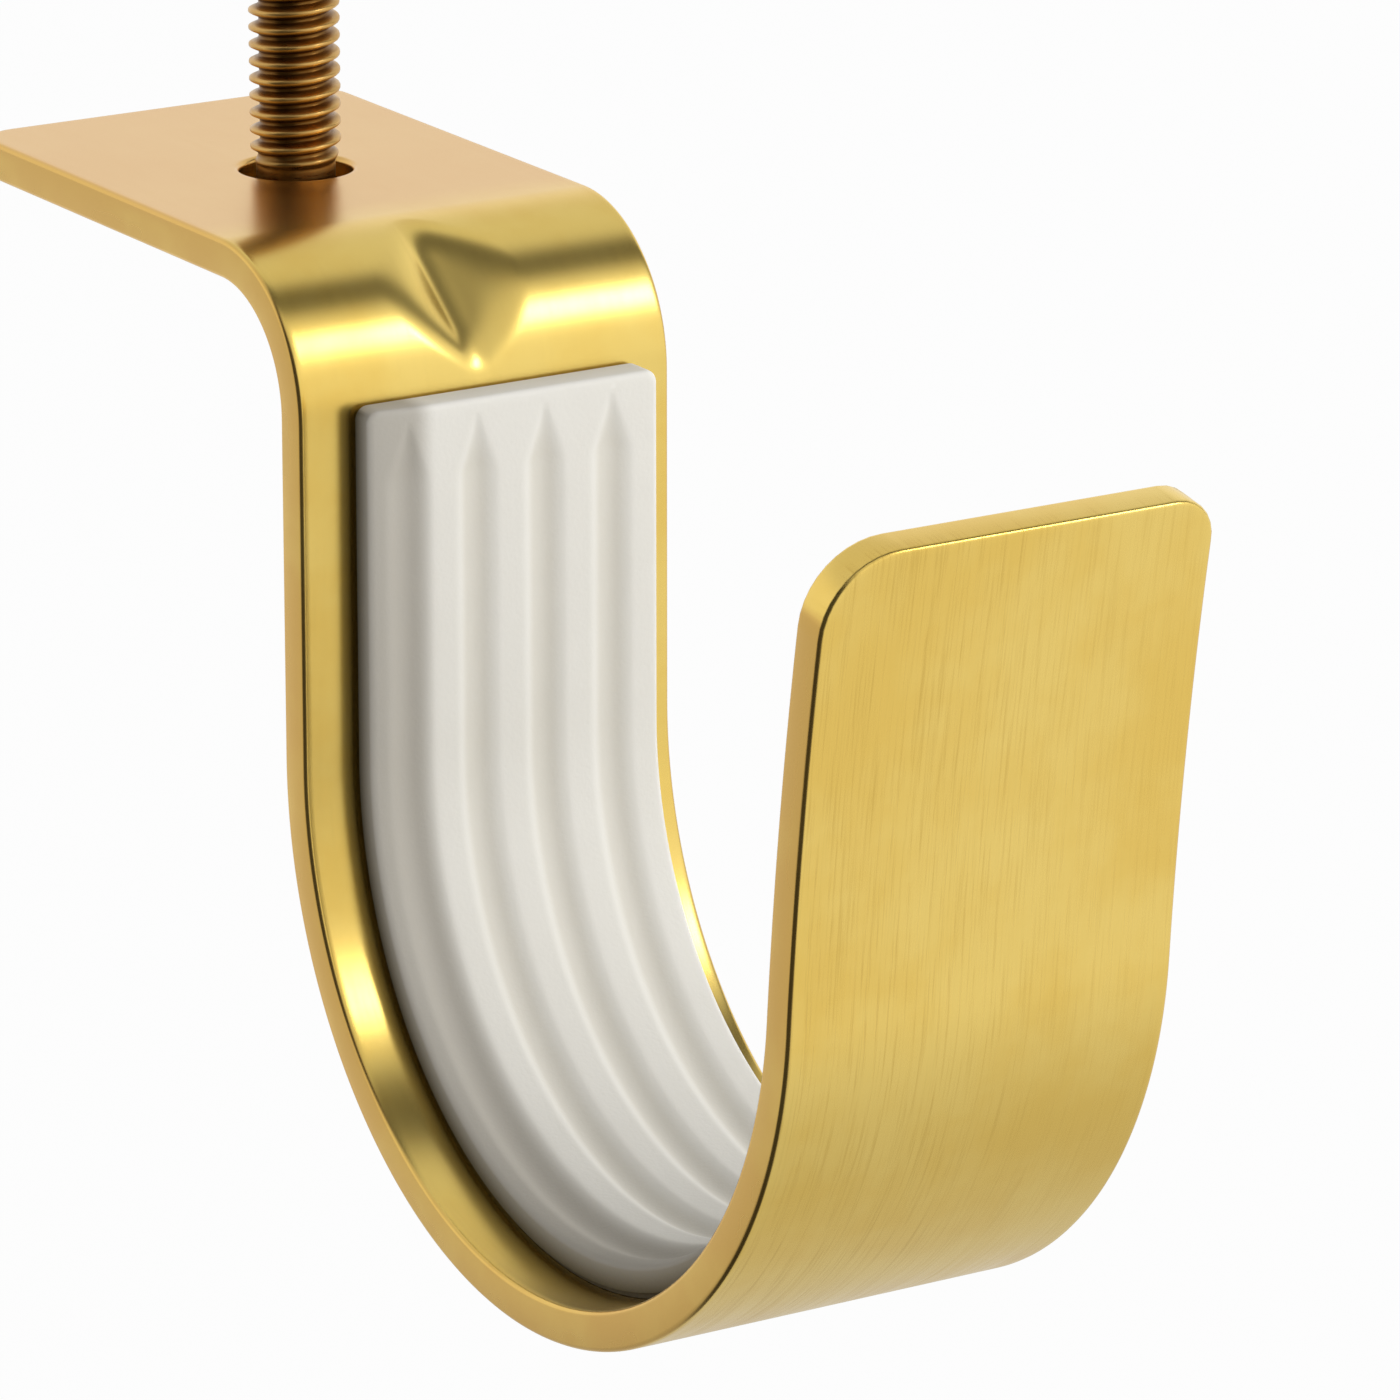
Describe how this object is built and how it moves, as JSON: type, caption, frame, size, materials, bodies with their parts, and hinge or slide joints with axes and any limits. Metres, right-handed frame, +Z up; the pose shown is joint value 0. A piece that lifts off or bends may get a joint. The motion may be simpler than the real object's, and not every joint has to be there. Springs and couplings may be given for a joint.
{
  "type": "curtain rod bracket",
  "caption": "Bent brass hook for a curtain rod, with a fluted soft liner and a threaded stud standing up through its top tab.",
  "frame": {"origin": "on the screw's axis, level with the top of the tab", "axes": "+Z up along the screw, +Y towards the tab's free end and away from the hook, X across the strap"},
  "size_m": [0.019, 0.0735, 0.0668],
  "materials": {
    "brushed_brass": "finely brushed, satin",
    "pad": "matt, soft",
    "adhesive": "matt, dark",
    "screw_brass": "bright on the ridges, darker in the thread"
  },
  "bodies": {
    "root": {"hook_strap": "brushed_brass", "hook_pad": "pad", "pad_adhesive": "adhesive", "hanging_screw": "screw_brass"}
  },
  "joints": []
}
